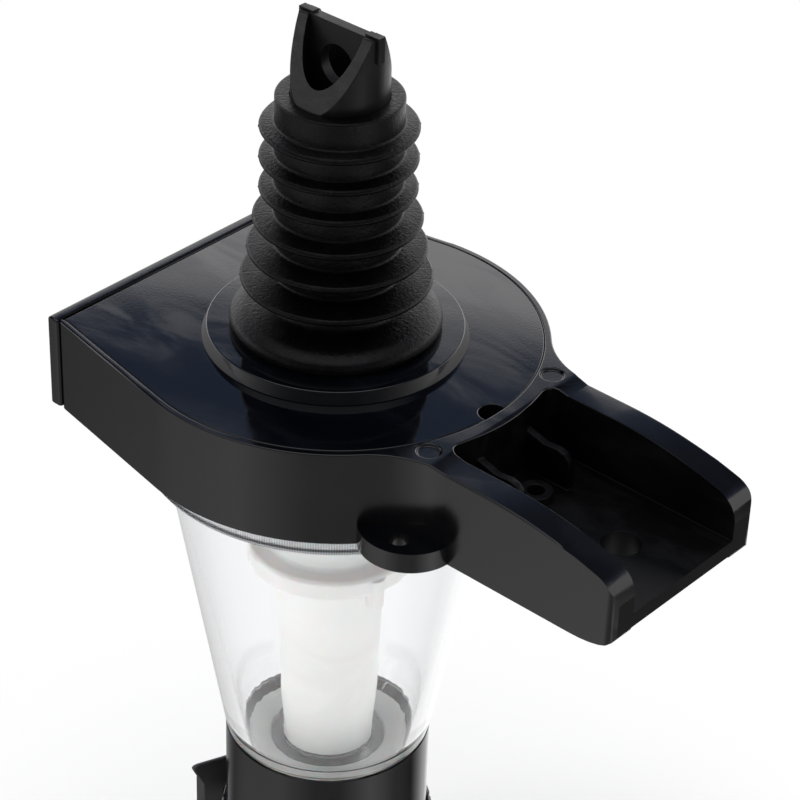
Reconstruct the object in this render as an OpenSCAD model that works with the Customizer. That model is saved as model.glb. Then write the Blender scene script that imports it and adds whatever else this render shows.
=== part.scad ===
// Spirit measure (liquor optic): a bottle stopper with an inlet tube, a black moulded
// head with a wall bracket, a clear measuring chamber, a lifting valve and a push bar.
// Heights are first given from the top face of the head and from the stopper's axis;
// on_axis() then moves them so that the origin is the screw hole of the bracket.

/* [Head] */
// Outer radius of the round head
head_r = 30; // [29:0.5:32]
// Height of the head
head_h = 14.3; // [14:0.1:16]
// Half of the head's width where it meets the front plate
front_half_w = 25; // [24.5:0.1:25.5]
// Distance from the axis to the front face of the head
front_d = 29.2; // [29:0.1:30]
// Width of the rim round the cover
rim_w = 1; // [0.8:0.1:1.4]
// Thickness of the cover
cover_t = 2; // [1.6:0.1:2.4]
// Thickness of the front plate
plate_t = 2; // [1.6:0.1:2.4]

/* [Bracket] */
// Distance from the axis to the end of the bracket
bracket_end = 61.4; // [59:0.1:64]
// Half of the bracket's outer width
bracket_half_w = 14.9; // [14.5:0.1:15.5]
// Thickness of each bracket arm
arm_t = 4.3; // [3.5:0.1:4.5]
// Height of the arms' straight top below the cover's face
arm_top_drop = 0.5; // [0.3:0.1:1]
// Distance from the axis to the screw hole
hole_d = 51.2; // [50:0.1:53]
// Radius of the screw hole
hole_r = 2.7; // [2.2:0.1:3]
// Height of the channel floor below the cover's face
floor_drop = 10; // [9.5:0.1:10.3]
// Thickness of the channel floor
floor_t = 2.3; // [2:0.1:2.6]
// Radius of the concave blend from the head into an arm
blend_r = 14; // [13:0.5:15]
// Radius of each side ear
ear_r = 7; // [6.5:0.1:7.2]
// Thickness of each side ear
ear_t = 3; // [2.5:0.1:3.5]
// Radius of the screw hole in each ear
ear_hole_r = 1.4; // [1.2:0.1:1.6]

/* [Stopper and inlet] */
// Outer radius of the inlet tube
tube_r = 6.65; // [6.5:0.05:6.8]
// Radius of the inlet bore
bore_r = 5; // [4.8:0.05:5.1]
// Height of the inlet tube's tip above the cover
tube_top = 47.2; // [46:0.1:50]
// Slope of the two cuts on the tube's tip, rise over run
tip_slope = 2.035; // [1.8:0.01:2.2]
// Half of the width of the flat ridge between the two cuts
ridge_half = 1.2; // [1:0.1:1.4]
// Radius of the seat disc under the stopper
seat_r = 17.9; // [17.5:0.1:18.5]
// Thickness of the seat disc
seat_t = 1.8; // [1.6:0.1:2.2]
// Radius of the stopper's core
core_r = 8.6; // [8.4:0.1:8.8]
// Height of the stopper's top above the cover
stopper_top = 36.95; // [36.5:0.05:37.5]
// Height of the lowest rib above the cover
rib_low = 9.63; // [9.4:0.01:9.8]
// Distance from one rib to the next
rib_pitch = 4.58; // [4.5:0.01:4.6]

/* [Chamber] */
// Radius of the chamber's knurled collar
collar_r = 27.6; // [27:0.1:27.7]
// Height of the knurled collar's underside below the cover's face
collar_drop = 18.4; // [18:0.1:19]
// Outer radius at the top of the cone
cone_top_r = 24.2; // [23.6:0.1:25]
// Outer radius at the foot of the cone, and of the label band
cone_foot_r = 15.5; // [15.2:0.1:16]
// Height of the cone's foot below the cover's face
cone_foot_drop = 68.6; // [67:0.1:70]
// Wall thickness of the chamber
wall_t = 1.8; // [1.6:0.1:2]

/* [Valve] */
// Travel of the valve and the push bar
travel = 8; // [7:0.5:8]
// Radius of the upper valve cup
cup_r = 8.5; // [8.4:0.1:8.6]
// Radius of the valve's flange
flange_r = 11.7; // [11:0.1:12.4]
// Height of the flange's underside below the cover's face
flange_drop = 36.8; // [36.2:0.1:38]
// Outer radius of the valve tube at its foot
stem_r = 6.65; // [6.5:0.05:6.7]
// Wire diameter of the return spring
wire_d = 0.9; // [0.8:0.05:0.9]
// Number of turns of the return spring
spring_turns = 8; // [6:1:9]

/* [Base] */
// Height of the foot of the label band below the cover's face
label_foot_drop = 86.2; // [85:0.1:86.4]
// Outer radius of the base nut
nut_r = 16.4; // [16.2:0.1:16.6]
// Height of the push bar's hub top below the cover's face
hub_drop = 103; // [102.5:0.1:104]
// Height of the nozzle's mouth below the cover's face
mouth_drop = 122; // [121:0.5:124]
// Direction of each push bar arm, measured forward from straight sideways
arm_sweep = 22; // [20:1:24]
// Thickness of each push bar arm
bar_t = 3; // [2.6:0.1:3.4]

/* [Hidden] */
$fn = 96;
eps = 0.01;
fit = 0.05;

black = [0.06, 0.06, 0.07];
dark_rubber = [0.1, 0.1, 0.1];
clear = [0.85, 0.88, 0.9, 0.4];
white = [0.93, 0.93, 0.92];
steel = [0.7, 0.7, 0.72];
seal_grey = [0.3, 0.3, 0.32];

// Levels below the cover's face
cover_z = -cover_t;
deck_top = -6;
deck_bottom = -8.4;
collar_top = -9.6;
head_bottom = -head_h;
floor_top = -floor_drop;
floor_bottom = floor_top - floor_t;
spigot_foot = -10.4;
washer_foot = -11.2;
cup_rim = -20;
cup_floor = -34.5;
flange_top = -flange_drop + 3.4;
flange_bottom = -flange_drop;
chamber_floor = -69.7;
chamber_floor_t = 1.2;
gland_top = chamber_floor - chamber_floor_t;
gland_foot = gland_top - 2;
skirt_foot = -88.4;
label_foot = -label_foot_drop;
label_top = -cone_foot_drop - 0.4;
base_foot = -91.6;
bush_foot = -92.9;
nut_foot = -93;
hub_top = -hub_drop;
hub_foot = hub_top - 9;
stem_foot = hub_foot - 4;
mouth = -mouth_drop;

// Radii of the bores and spigots
spigot_r = 8;
stem_bore = 5.1;
skirt_r = cone_foot_r - 0.5;
skirt_in = 13.6;
gland_r = 8.7;
tip_bore = 3.4;
tip_r = 6.2;

function inset_half_w(t) =
    let (phi = atan2(front_corner_run(), front_corner_rise()))
    front_half_w - t * (1 - sin(phi)) / cos(phi);
function tangent_angle(w, d, r) = atan2(-d, w) + acos(r / norm([w, d]));
function front_corner_run() =
    head_r * cos(tangent_angle(front_half_w, front_d, head_r)) - front_half_w;
function front_corner_rise() =
    front_d + head_r * sin(tangent_angle(front_half_w, front_d, head_r));

// Moves what is drawn about the stopper's axis to the part's origin
module on_axis() translate([0, -hole_d, -floor_top]) children();

// A ring of rectangular section between two heights
module ring(r_out, r_in, z_low, z_high)
    translate([0, 0, z_low])
        difference() {
            cylinder(r = r_out, h = z_high - z_low);
            translate([0, 0, -1]) cylinder(r = r_in, h = z_high - z_low + 2);
        }

module o_ring(r_mid, r_section, z)
    translate([0, 0, z]) rotate_extrude() translate([r_mid, 0]) circle(r = r_section, $fn = 32);

// The head's outline in plan, drawn in by t all round
module head_plan(t) {
    r = head_r - t;
    w = inset_half_w(t);
    d = front_d - t;
    a = tangent_angle(w, d, r);
    difference() {
        circle(r = r);
        translate([-60, -60 - d]) square([120, 60]);
    }
    polygon([[w, -d], [r * cos(a), r * sin(a)], [-r * cos(a), r * sin(a)], [-w, -d]]);
}

// ---- Stopper and inlet -------------------------------------------------------------

rib_r = [13.34, 12.48, 11.69, 10.84, 10.83, 10.83];

// Outline of one rib: a thin disc that droops a little towards its rounded edge
function rib_outline(r, z) = [
    [core_r, z - 0.55], [r - 0.5, z - 0.6], [r - 0.12, z - 0.45], [r, z - 0.1],
    [r - 0.12, z + 0.2], [r - 0.5, z + 0.3], [core_r, z + 0.6]
];
function stopper_outline() = concat(
    [[tube_r, seat_t], [14, seat_t], [14.7, seat_t + 0.7], [14.8, seat_t + 1.5],
     [14.5, seat_t + 2.2], [13.8, seat_t + 2.6], [core_r, seat_t + 3]],
    [for (i = [0:5], p = rib_outline(rib_r[i], rib_low + i * rib_pitch)) p],
    [[core_r + 0.1, stopper_top - 0.4], [core_r - 0.3, stopper_top], [tube_r, stopper_top]]
);

module stopper() on_axis() color(dark_rubber)
    rotate_extrude() polygon(stopper_outline());

divider_t = 1.6;
divider_foot = 6;
divider_window_z = 41.4;
divider_window_r = 2.9;
tab_reach = 7.1;
tab_h = 3.4;
tab_t = 1.2;

// Wedge that the two sloping cuts leave of the tube's tip
module tip_wedge() {
    drop = tube_top - stopper_top + 8;
    rotate([90, 0, 0])
        linear_extrude(height = 40, center = true)
            polygon([
                [-ridge_half, tube_top], [ridge_half, tube_top],
                [ridge_half + drop / tip_slope, tube_top - drop],
                [30, tube_top - drop], [30, -40], [-30, -40], [-30, tube_top - drop],
                [-ridge_half - drop / tip_slope, tube_top - drop]
            ]);
}

module inlet_tube() on_axis() color(black)
    difference() {
        intersection() {
            union() {
                cylinder(r = tube_r, h = tube_top);
                cylinder(r1 = seat_r + 0.7, r2 = seat_r, h = seat_t);
                translate([0, 0, deck_top]) cylinder(r = 12, h = -deck_top + eps);
                translate([0, 0, spigot_foot]) cylinder(r = spigot_r, h = 12);
            }
            tip_wedge();
        }
        translate([0, 0, spigot_foot - 1]) cylinder(r = bore_r, h = 70);
        translate([0, 0, spigot_foot - eps]) cylinder(r1 = bore_r + 0.6, r2 = bore_r, h = 1);
        for (side = [-1, 1])
            translate([-tab_t / 2, side * (tube_r - 0.8) - 1.2, tube_top - tab_h])
                cube([tab_t, 2.4, tab_h + 1]);
    }

// Blade across the inlet that parts the liquor going down from the air going up
module flow_divider() on_axis() color(black)
    difference() {
        union() {
            intersection() {
                translate([-divider_t / 2, -bore_r, divider_foot])
                    cube([divider_t, 2 * bore_r, tube_top - divider_foot]);
                cylinder(r = bore_r, h = tube_top + 1);
            }
            for (side = [-1, 1])
                translate([-tab_t / 2, side * (tab_reach + bore_r - 0.4) / 2 -
                    (tab_reach - bore_r + 0.4) / 2, tube_top - tab_h])
                    cube([tab_t, tab_reach - bore_r + 0.4, tab_h + 0.3]);
        }
        translate([-divider_t, 0, divider_window_z])
            rotate([0, 90, 0]) cylinder(r = divider_window_r, h = 2 * divider_t);
    }

module inlet_o_ring() on_axis() color(seal_grey)
    o_ring(spigot_r + 0.95, 0.9, deck_top - 0.95);

// ---- Head ---------------------------------------------------------------------------

notch_d = 28.6;
notch_r = 2;
stem_hole_r = 12.1;
cover_gap = 0.25;
cover_front_w = inset_half_w(rim_w + fit);

module top_cover() on_axis() color(black)
    translate([0, 0, cover_z])
        difference() {
            linear_extrude(height = cover_t)
                difference() {
                    union() {
                        head_plan(rim_w + fit);
                        translate([-cover_front_w, -front_d + cover_gap])
                            square([2 * cover_front_w, 2]);
                    }
                    circle(r = stem_hole_r);
                }
            translate([0, notch_d, -1]) cylinder(r = notch_r, h = cover_t + 2);
        }

pocket_r = 31.3;
pocket_corner_r = 1.6;
eject_x = 12.7;
eject_d = 28.4;
eject_r = 1.6;
ear_x = 14.6;
ear_d = 27.2;
ear_hole_x = 18.2;
ear_hole_d = 28.6;
blend_x = bracket_half_w + blend_r;
blend_d = sqrt(pow(head_r + blend_r, 2) - pow(blend_x, 2));
blend_touch_x = head_r * blend_x / (head_r + blend_r);
end_r = 1.2;
socket_r = collar_r + 0.15;
deck_hole_r = spigot_r + 0.1;
o_ring_seat_r = spigot_r + 1.9;
vent_d = 20;
vent_stem_r = 1.2;
peg_x = 16;
peg_r = 1.5;
peg_z = -9;
peg_len = 2.5;
fin_x = 5;
fin_t = 1.2;
hole_boss_r = 5.5;

// Outer outline of the head with its two bracket arms
module bracket_plan() {
    difference() {
        union() {
            head_plan(0);
            translate([-bracket_half_w, 0]) square([2 * bracket_half_w, bracket_end - end_r]);
            translate([-bracket_half_w + end_r, 0])
                square([2 * (bracket_half_w - end_r), bracket_end]);
            for (side = [-1, 1])
                translate([side * (bracket_half_w - end_r), bracket_end - end_r])
                    circle(r = end_r);
            translate([-blend_touch_x, 0]) square([2 * blend_touch_x, blend_d]);
        }
        for (side = [-1, 1])
            translate([side * blend_x, blend_d]) circle(r = blend_r);
    }
}

curve_start = bracket_end - 21.4;
curve_end = bracket_end - 2.9;
curve_drop = 2.8;
end_lift = 2.1;

// Side outline of the bracket: its top falls in a shallow curve and turns down at the end
function top_curve(n) =
    let (run = curve_end - curve_start, tilt = atan(2 * curve_drop / run),
         r = (bracket_end - curve_end) / (1 - sin(tilt)), z = -arm_top_drop - curve_drop)
    concat(
        [for (i = [0:n]) [curve_start + run * i / n, -arm_top_drop - curve_drop * pow(i / n, 2)]],
        [for (i = [1:n])
            let (a = 90 - tilt - (90 - tilt) * i / n)
            [bracket_end - r + r * cos(a), z - r * cos(tilt) + r * sin(a)]]
    );
function foot_curve(n) = [
    for (i = [n:-1:0])
        let (a = 90 * i / n)
        [bracket_end - 6.6 + 6.6 * sin(a), head_bottom + end_lift * (1 - cos(a))]
];
module arm_side()
    rotate([90, 0, 90])
        linear_extrude(height = 2 * bracket_half_w + 60, center = true)
            polygon(concat(
                [[-60, 0], [30.5, 0], [33, -arm_top_drop]], top_curve(10),
                foot_curve(6), [[-60, head_bottom]]));

// Plan of the open channel between the arms, ending in an arc round the head
module channel_plan() {
    half_w = bracket_half_w - arm_t;
    corner_x = half_w - pocket_corner_r;
    corner_d = sqrt(pow(pocket_r + pocket_corner_r, 2) - pow(corner_x, 2));
    k = pocket_r / (pocket_r + pocket_corner_r);
    difference() {
        translate([-half_w, 0]) square([2 * half_w, bracket_end + 1]);
        circle(r = pocket_r);
        for (side = [-1, 1])
            polygon([
                [side * corner_x, corner_d], [side * corner_x * k, corner_d * k],
                [side * corner_x * k, 20], [side * (half_w + 1), 20],
                [side * (half_w + 1), corner_d]
            ]);
    }
    for (side = [-1, 1])
        translate([side * corner_x, corner_d]) circle(r = pocket_corner_r);
}

module fin(side)
    translate([side * fin_x, 0, 0])
        rotate([90, 0, 90])
            linear_extrude(height = fin_t, center = true)
                polygon([
                    [pocket_r - 1.5, floor_top - eps], [pocket_r - 1.5, -3.6], [32.6, -4.3],
                    [34, -4.7], [36.4, -4.5], [37.5, -4.8], [38.3, -5.6], [38.6, -6.6],
                    [38.6, floor_top - eps]
                ]);

module housing() on_axis() color(black)
    difference() {
        union() {
            difference() {
                intersection() {
                    translate([0, 0, head_bottom])
                        linear_extrude(height = head_h) bracket_plan();
                    arm_side();
                }
                // channel above the floor and the shallow one beneath it
                translate([0, 0, floor_top])
                    linear_extrude(height = 20) channel_plan();
                translate([0, 0, head_bottom - 1])
                    linear_extrude(height = floor_bottom - head_bottom + 1)
                        difference() {
                            channel_plan();
                            translate([0, hole_d]) circle(r = hole_boss_r);
                        }
                // socket for the chamber's collar
                translate([0, 0, head_bottom - 1])
                    cylinder(r = socket_r, h = deck_bottom - head_bottom + 1);
                // space between the deck and the cover
                translate([0, 0, deck_top])
                    linear_extrude(height = cover_z - deck_top + eps) head_plan(rim_w + 1.6);
                translate([0, 0, cover_z])
                    linear_extrude(height = cover_t + 1) head_plan(rim_w);
                translate([-inset_half_w(rim_w), -front_d - 1, cover_z])
                    cube([2 * inset_half_w(rim_w), 3, cover_t + 1]);
                // hollow front corners, open underneath
                front_corners();
            }
            for (side = [-1, 1]) {
                fin(side);
                ear(side);
            }
            translate([0, 36.6, floor_top - eps]) cylinder(r = 2.4, h = 1.4);
        }
        cylinder(r = deck_hole_r, h = 60, center = true);
        translate([0, 0, deck_top - 1.9]) cylinder(r = o_ring_seat_r, h = 4);
        translate([0, vent_d, deck_bottom - 1]) {
            cylinder(r = vent_stem_r + fit, h = 5);
            for (a = [30, 150, 270])
                rotate([0, 0, a]) translate([2.3, 0, 0]) cylinder(r = 0.5, h = 5);
        }
        translate([0, hole_d, -30]) cylinder(r = hole_r, h = 40);
        translate([0, 36.6, floor_top - 0.6]) cylinder(r = 1.2, h = 4);
        // air way from the cover's notch to the space above the deck
        translate([0, notch_d - 0.9, cover_z - 2]) cylinder(r = 1.2, h = 2 + eps);
        for (side = [-1, 1]) {
            translate([side * ear_hole_x, ear_hole_d, -30]) cylinder(r = ear_hole_r, h = 22);
            translate([side * eject_x, eject_d, -0.35]) cylinder(r = eject_r, h = 2);
            translate([side * peg_x, -front_d - 1, peg_z])
                rotate([-90, 0, 0]) cylinder(r = peg_r + fit, h = peg_len + 1.4);
        }
    }

module ear(side)
    intersection() {
        translate([side * ear_x, ear_d, head_bottom])
            cylinder(r = ear_r, h = ear_t);
        difference() {
            translate([-60, -60, head_bottom]) cube([120, 120, ear_t]);
            translate([0, 0, head_bottom - 1]) cylinder(r = socket_r, h = ear_t + 2);
        }
    }

module front_corners()
    translate([0, 0, head_bottom - 1])
        linear_extrude(height = deck_bottom - head_bottom + 1)
            difference() {
                head_plan(2.2);
                circle(r = socket_r + 1.6);
                translate([-60, -14]) square([120, 120]);
                translate([-60, -front_d]) square([120, 3.6]);
            }

plate_half_w = front_half_w + 0.3;

module front_plate() on_axis() color(black) {
    difference() {
        translate([-plate_half_w, -front_d - plate_t, head_bottom])
            cube([2 * plate_half_w, plate_t, head_h + 0.1]);
        translate([-plate_half_w + 2, -front_d - plate_t - 1, head_bottom + 2])
            cube([2 * plate_half_w - 4, 1.5, head_h - 4]);
    }
    for (side = [-1, 1])
        translate([side * peg_x, -front_d - eps, peg_z])
            rotate([-90, 0, 0]) cylinder(r = peg_r, h = peg_len);
}

// Bare panel where a name would go
module badge_blank() on_axis() color([0.1, 0.1, 0.11])
    translate([-plate_half_w + 2.3, -front_d - plate_t + 0.1, head_bottom + 2.3])
        cube([2 * plate_half_w - 4.6, 0.4, head_h - 4.6]);

// Rubber umbrella that lets air into the chamber while it empties
module vent_valve() on_axis() color(seal_grey)
    translate([0, vent_d, 0])
        rotate_extrude()
            polygon([
                [0, deck_top + 1.6], [1.2, deck_top + 1.4], [1.7, deck_top + 0.8],
                [1.7, deck_top], [vent_stem_r, deck_top], [vent_stem_r, deck_bottom],
                [3.3, deck_bottom], [3.3, deck_bottom - 0.4], [0, deck_bottom - 1]
            ]);

module chamber_gasket() on_axis() color(seal_grey)
    ring(collar_r - 0.6, 24.6, collar_top, deck_bottom);

// ---- Chamber ------------------------------------------------------------------------

collar_foot = -collar_drop;
cone_foot = -cone_foot_drop;
cone_in_top = cone_top_r - wall_t;
cone_in_foot = cone_foot_r - 2.5;

module chamber() on_axis() color(clear)
    rotate_extrude()
        polygon([
            [collar_r - 0.6, collar_top], [collar_r - 0.3, head_bottom + 0.4],
            [collar_r, head_bottom - 0.2], [collar_r, collar_foot + 0.3],
            [collar_r - 0.3, collar_foot], [cone_top_r, collar_foot],
            [cone_foot_r, cone_foot], [skirt_r, cone_foot - 0.3],
            [skirt_r, skirt_foot], [skirt_in, skirt_foot], [skirt_in, gland_top],
            [stem_r + 0.1, gland_top], [stem_r + 0.1, chamber_floor],
            [cone_in_foot - 1.6, chamber_floor], [cone_in_foot, chamber_floor + 2],
            [cone_in_top, collar_foot - 1], [cone_in_top, collar_top]
        ]);

// ---- Valve --------------------------------------------------------------------------

cup_in = 7.4;
post_r = 3.4;
nose_r = 4.7;
stub_r = 5.4;
stub_foot = flange_bottom - 6;
groove_z = -13;
nose_tip = -11.2;

module valve_cup() on_axis() color(white) {
    rotate_extrude()
        polygon([
            [0, nose_tip], [2, nose_tip], [nose_r, groove_z + 1],
            [nose_r, groove_z + 0.8], [post_r, groove_z + 0.8], [post_r, groove_z - 0.8],
            [nose_r, groove_z - 0.8], [nose_r, groove_z - 1.5], [post_r, groove_z - 2.5],
            [post_r, cup_floor], [cup_in, cup_floor], [cup_in, cup_rim + 0.3],
            [cup_in + 0.3, cup_rim], [cup_r - 0.3, cup_rim], [cup_r, cup_rim - 0.4],
            [cup_r, flange_top + 0.5], [cup_r + 0.5, flange_top], [flange_r - 0.5, flange_top],
            [flange_r, flange_top - 0.5], [flange_r, flange_bottom + 0.5],
            [flange_r - 0.5, flange_bottom], [stub_r, flange_bottom], [stub_r, stub_foot],
            [0, stub_foot]
        ]);
    // moulding gate left on the flange's rim
    rotate([0, 0, 76])
        translate([flange_r - 0.8, 0, flange_bottom - 2.3]) cylinder(r = 1.35, h = 5, $fn = 32);
}

module valve_o_ring() on_axis() color(seal_grey)
    o_ring(4.17, 0.76, groove_z);

module spring_washer() on_axis() color(steel)
    ring(7.3, bore_r + 0.75, washer_foot, spigot_foot);

spring_r = 6.35;
ring_steps = 8;
tube_sides = 6;
spring_low = cup_floor + wire_d / 2 + 0.02;
spring_high = washer_foot - wire_d / 2 - 0.02;
spring_n = spring_turns * ring_steps;

// A turn at each end lies nearly flat, the rest climb evenly
function spring_rise(t) =
    let (u = t * spring_turns, flat = wire_d + 0.5, span = spring_high - spring_low)
    u < 1 ? u * flat :
    u > spring_turns - 1 ? span - (spring_turns - u) * flat :
    flat + (u - 1) * (span - 2 * flat) / (spring_turns - 2);
function spring_point(i) =
    let (t = i / spring_n, a = 360 * t * spring_turns)
    [spring_r * cos(a), spring_r * sin(a), spring_low + spring_rise(t)];
function spring_gap() =
    min([for (i = [0:spring_n - ring_steps])
        norm(spring_point(i + ring_steps) - spring_point(i)) - wire_d]);
function sweep_points(n) = [
    for (i = [0:n], k = [0:tube_sides - 1])
        let (a = 360 * i / ring_steps, b = 360 * k / tube_sides, p = spring_point(i))
        [p.x + wire_d / 2 * cos(b) * cos(a), p.y + wire_d / 2 * cos(b) * sin(a),
         p.z + wire_d / 2 * sin(b)]
];
function sweep_faces(n) = concat(
    [for (i = [0:n - 1], k = [0:tube_sides - 1], half = [0, 1])
        let (k2 = (k + 1) % tube_sides, a = i * tube_sides + k, b = i * tube_sides + k2,
             c = (i + 1) * tube_sides + k, d = (i + 1) * tube_sides + k2)
        half == 0 ? [a, b, d] : [a, d, c]],
    [for (k = [1:tube_sides - 2]) [0, k + 1, k]],
    [for (k = [1:tube_sides - 2])
        [n * tube_sides, n * tube_sides + k, n * tube_sides + k + 1]]
);

echo(least_gap_between_spring_turns_mm = spring_gap());

module return_spring() on_axis() color(steel)
    polyhedron(points = sweep_points(spring_n), faces = sweep_faces(spring_n), convexity = 10);

port_r = 1.7;
port_z = chamber_floor + 0.5 - travel;
clip_t = 0.9;
clip_groove_r = 6.05;

module valve_tube() on_axis() color(white)
    difference() {
        rotate_extrude()
            polygon([
                [stub_r, flange_bottom], [7.5, flange_bottom], [7.1, -62],
                [stem_r, chamber_floor + 1.2],
                [stem_r, hub_top + clip_t], [clip_groove_r, hub_top + clip_t],
                [clip_groove_r, hub_top], [stem_r, hub_top], [stem_r, hub_foot],
                [clip_groove_r, hub_foot], [clip_groove_r, hub_foot - clip_t],
                [stem_r, hub_foot - clip_t], [stem_r, stem_foot], [stem_bore, stem_foot],
                [stem_bore, stub_foot - 1], [stub_r, stub_foot - 0.5]
            ]);
        for (a = [45, 135])
            rotate([0, 0, a])
                translate([0, 0, port_z])
                    rotate([0, 90, 0]) cylinder(r = port_r, h = 20, center = true);
    }

// ---- Base ---------------------------------------------------------------------------

label_seam = 0.5;

module label_band() on_axis() color(black)
    difference() {
        ring(cone_foot_r, skirt_r + 0.02, label_foot, label_top);
        rotate([0, 0, -135])
            translate([0, -label_seam / 2, label_foot - 1])
                cube([cone_foot_r + 2, label_seam, label_top - label_foot + 2]);
    }

module outlet_o_ring() on_axis() color(seal_grey)
    o_ring((stem_r + gland_r) / 2 + 0.03, (gland_r - stem_r) / 2 - 0.04, gland_top - 1);

bush_seat_r = 8.4;
bush_top = -84;
body_flange_r = 14.9;

module base_body() on_axis() color(white)
    rotate_extrude()
        polygon([
            [stem_r + 0.5, gland_foot], [gland_r, gland_foot], [gland_r, gland_top],
            [skirt_in - 0.05, gland_top], [skirt_in - 0.05, skirt_foot],
            [body_flange_r, skirt_foot], [body_flange_r, base_foot], [bush_seat_r, base_foot],
            [bush_seat_r, bush_top], [stem_r + 0.5, bush_top]
        ]);

module guide_bush() on_axis() color(white)
    rotate_extrude()
        polygon([
            [stem_r + 0.06, bush_top], [bush_seat_r, bush_top], [bush_seat_r, base_foot],
            [10, base_foot], [10, bush_foot + 0.4], [9.6, bush_foot], [stem_r + 0.5, bush_foot],
            [stem_r + 0.06, bush_foot + 0.5]
        ]);

grip_count = 36;

// Grooved nut that clamps the base to the chamber
module base_nut() on_axis() color(black)
    difference() {
        rotate_extrude()
            polygon([
                [skirt_r + 0.05, label_foot - 0.1], [nut_r - 0.4, label_foot - 0.1],
                [nut_r, label_foot - 0.5], [nut_r, nut_foot + 0.6], [nut_r - 0.6, nut_foot],
                [10.6, nut_foot], [10.6, base_foot], [skirt_r + 0.05, base_foot]
            ]);
        for (i = [0:grip_count - 1])
            rotate([0, 0, 360 * i / grip_count])
                translate([nut_r + 0.25, 0, nut_foot - 1]) cylinder(r = 0.6, h = 12, $fn = 24);
    }

arm_root = [4.5, -19];
hub_r = 10.5;
wing_top = -85.3;

// Side outline of one arm of the push bar, along its own plane: an upright beside the base
// and a lever that spreads to meet the glass
module arm_outline() {
    polygon([
        [-2.3, wing_top], [4.1, wing_top], [4.8, -85.6], [5, -86.2], [3.4, -89.6], [3.4, -97],
        [7.6, -104.6], [12.6, -111.6], [19.8, -118.7], [18.6, -120.9], [10, -117.4],
        [3, -112.6], [-3.4, hub_foot], [-3.4, hub_top + 1.2], [-2.3, hub_top + 1.6]
    ]);
    translate([19, -119.7]) circle(r = 1.3);
}

// The arm thins towards its top, on the side away from the base
module push_arm()
    translate([arm_root.x, arm_root.y, 0])
        rotate([0, 0, -arm_sweep])
            intersection() {
                rotate([90, 0, 0])
                    linear_extrude(height = 2 * bar_t, center = true) arm_outline();
                rotate([90, 0, 90])
                    linear_extrude(height = 60, center = true)
                        polygon([
                            [-bar_t / 2, mouth], [bar_t / 2, mouth], [bar_t / 2, wing_top + 1],
                            [bar_t / 2 - 0.2, wing_top + 1], [-bar_t / 2, wing_top - 4.7]
                        ]);
            }

module push_bar() on_axis() color(black)
    difference() {
        union() {
            translate([0, 0, hub_foot]) cylinder(r = hub_r, h = 9);
            for (side = [0, 1])
                mirror([side, 0, 0]) {
                    push_arm();
                    fork_rib();
                }
        }
        translate([0, 0, hub_foot - 10]) cylinder(r = stem_r, h = 40);
    }

// Rib that carries an arm from the hub
module fork_rib()
    translate([0, 0, hub_foot])
        linear_extrude(height = 6.5)
            polygon([[0, -9.5], [1.2, -17.4], [6, -19.4], [9.4, -15.6], [9.8, -3], [0, -2]]);

// Two open rings in grooves of the valve tube, one on each side of the push bar's hub
module retaining_clips() on_axis() color(steel)
    for (z = [hub_top, hub_foot - clip_t])
        difference() {
            ring(8.6, clip_groove_r, z, z + clip_t);
            translate([0, -1.6, z - 1]) cube([12, 3.2, 4]);
        }

// Drip tip with a three-legged spider that steadies the flow
module nozzle_tip() on_axis() color(black) {
    rotate_extrude()
        polygon([
            [stem_bore, stem_foot + 7], [stem_bore, stem_foot], [stem_r, stem_foot],
            [stem_r, stem_foot - 0.8], [tip_r - 0.6, mouth + 0.4], [tip_r - 1, mouth],
            [tip_bore, mouth], [tip_bore, stem_foot + 7]
        ]);
    for (a = [90, 210, 330])
        rotate([0, 0, a])
            translate([0, -0.4, stem_foot + 3]) cube([tip_bore + 0.3, 0.8, 4]);
}

stopper();
inlet_tube();
flow_divider();
inlet_o_ring();
top_cover();
housing();
front_plate();
badge_blank();
vent_valve();
chamber_gasket();
chamber();
valve_cup();
valve_o_ring();
spring_washer();
return_spring();
valve_tube();
label_band();
outlet_o_ring();
base_body();
guide_bush();
base_nut();
push_bar();
retaining_clips();
nozzle_tip();
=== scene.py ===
import math

import bmesh
import bpy
from mathutils import Matrix, Vector


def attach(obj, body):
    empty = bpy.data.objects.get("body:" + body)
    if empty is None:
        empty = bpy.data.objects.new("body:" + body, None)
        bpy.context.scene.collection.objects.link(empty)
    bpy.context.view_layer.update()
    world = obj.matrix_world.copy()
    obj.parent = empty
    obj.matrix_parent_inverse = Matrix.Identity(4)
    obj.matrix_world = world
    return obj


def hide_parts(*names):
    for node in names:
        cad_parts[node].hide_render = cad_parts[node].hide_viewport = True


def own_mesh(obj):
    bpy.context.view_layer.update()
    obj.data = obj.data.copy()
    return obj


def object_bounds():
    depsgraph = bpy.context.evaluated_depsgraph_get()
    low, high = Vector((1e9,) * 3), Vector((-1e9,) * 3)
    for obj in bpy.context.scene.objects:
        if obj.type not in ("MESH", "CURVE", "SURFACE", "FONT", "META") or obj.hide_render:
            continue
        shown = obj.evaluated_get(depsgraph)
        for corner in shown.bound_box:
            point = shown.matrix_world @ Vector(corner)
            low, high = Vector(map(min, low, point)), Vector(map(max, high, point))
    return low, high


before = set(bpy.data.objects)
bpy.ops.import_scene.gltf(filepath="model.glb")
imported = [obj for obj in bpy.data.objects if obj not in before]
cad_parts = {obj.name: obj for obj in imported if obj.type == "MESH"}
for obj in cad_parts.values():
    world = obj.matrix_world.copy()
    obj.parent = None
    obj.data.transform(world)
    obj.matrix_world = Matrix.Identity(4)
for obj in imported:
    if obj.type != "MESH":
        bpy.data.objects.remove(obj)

solid_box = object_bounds()

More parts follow.
